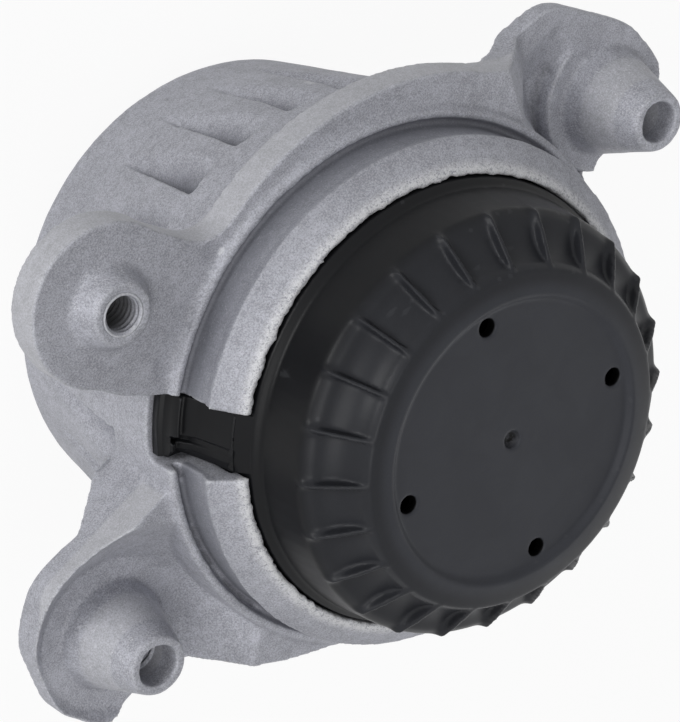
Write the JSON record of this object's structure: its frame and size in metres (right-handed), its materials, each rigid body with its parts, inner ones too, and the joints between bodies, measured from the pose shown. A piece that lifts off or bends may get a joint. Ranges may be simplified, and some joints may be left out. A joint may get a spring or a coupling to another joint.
{
  "type": "hydraulic engine mount",
  "caption": "Hydraulic engine mount: cast aluminium cup with tapered threaded bosses on ears, a ribbed black domed cap and a core that bolts to the engine.",
  "frame": {"origin": "on the mount axis, in the core's contact face at the engine side", "axes": "+Z along the mount axis towards the domed cap, +X towards the plain long boss"},
  "size_m": [0.1798, 0.1349, 0.1061],
  "materials": {
    "cast_aluminium": "blasted die casting, rough and grey, brighter on its edges",
    "black_plastic": "moulded glass-filled nylon, fine satin grain",
    "rubber": "natural rubber, matt",
    "turned_aluminium": "forged and turned, fine rings",
    "plate_aluminium": "die-cast inner plate, plain",
    "steel": "zinc-plated steel"
  },
  "bodies": {
    "root": {"housing": "cast_aluminium", "base_cap": "black_plastic", "bellows_diaphragm": "rubber", "upper_channel_plate": "plate_aluminium", "lower_channel_plate": "plate_aluminium", "plate_seal": "rubber", "decoupler_membrane": "rubber", "plate_rivets": "steel", "spring_outer_ring": "steel", "core": "turned_aluminium", "main_spring": "rubber", "rebound_stop_plate": "steel", "rebound_buffer": "rubber"}
  },
  "joints": []
}
